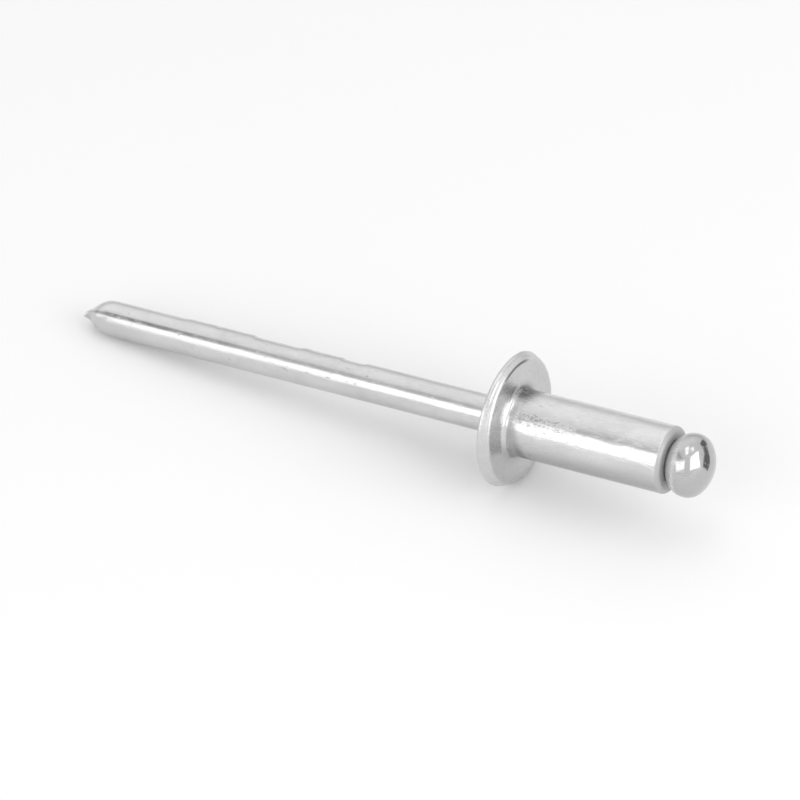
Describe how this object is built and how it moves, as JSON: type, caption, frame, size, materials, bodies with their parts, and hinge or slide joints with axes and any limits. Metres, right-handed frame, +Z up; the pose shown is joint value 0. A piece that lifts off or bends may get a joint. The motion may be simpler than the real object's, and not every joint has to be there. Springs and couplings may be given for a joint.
{
  "type": "blind rivet",
  "caption": "Open-end blind rivet with a domed head: a hollow aluminium body on a headed steel mandrel with a pinched point.",
  "frame": {"origin": "on the surface that the rivet lies on, under the middle of its box", "axes": "+X along the rivet towards the mandrel's head, +Z up; the rivet's own axis rises 6.21 degrees towards +X, because the flange's edge and the mandrel's point rest on the surface"},
  "size_m": [0.0416, 0.008, 0.008],
  "materials": {
    "body_aluminium": "bright cold-headed aluminium, lightly rubbed, with fine lengthways drawing lines",
    "mandrel_steel": "smooth zinc-plated drawn wire, with a polished pressed head"
  },
  "bodies": {
    "root": {"rivet_body": "body_aluminium", "mandrel": "mandrel_steel"}
  },
  "joints": []
}
